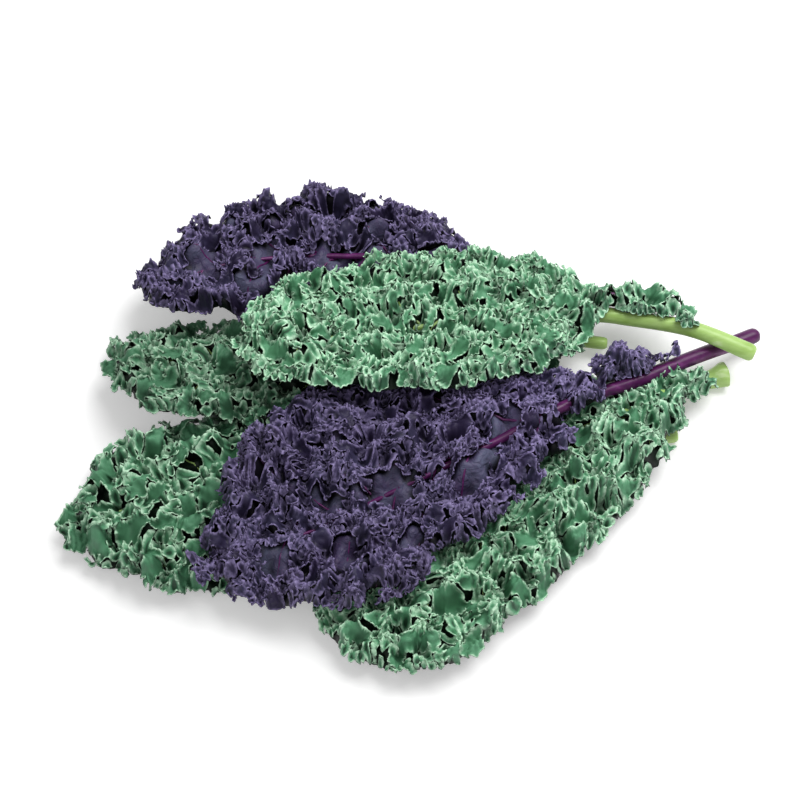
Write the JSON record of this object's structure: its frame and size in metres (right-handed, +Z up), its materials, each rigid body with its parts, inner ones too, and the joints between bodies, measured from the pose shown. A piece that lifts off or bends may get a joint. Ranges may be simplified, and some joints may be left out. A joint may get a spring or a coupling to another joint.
{
  "type": "bunch of kale",
  "caption": "Loose bunch of curly kale leaves, green and dark purple, lying flat with their cut stalks together.",
  "frame": {"origin": "bottom centre of the bunch's box, on the surface it lies on", "axes": "+X from the leaf tips towards the cut stalks, +Y across the bunch, +Z up"},
  "size_m": [0.4355, 0.3379, 0.07],
  "materials": {
    "green_blade": "waxy matt blue-green leaf with paler edges",
    "purple_blade": "waxy dark purple leaf with grey-green patches",
    "green_stalk": "smooth, slightly glossy pale green stalk",
    "purple_stalk": "smooth, slightly glossy magenta-purple stalk"
  },
  "bodies": {
    "root": {"lower_left_green_leaf_blade": "green_blade", "lower_left_green_leaf_stalk": "green_stalk", "lower_right_green_leaf_blade": "green_blade", "lower_right_green_leaf_stalk": "green_stalk", "upper_left_green_leaf_blade": "green_blade", "upper_left_green_leaf_stalk": "green_stalk", "back_purple_leaf_blade": "purple_blade", "back_purple_leaf_stalk": "purple_stalk", "front_purple_leaf_blade": "purple_blade", "front_purple_leaf_stalk": "purple_stalk", "top_green_leaf_blade": "green_blade", "top_green_leaf_stalk": "green_stalk"}
  },
  "joints": []
}
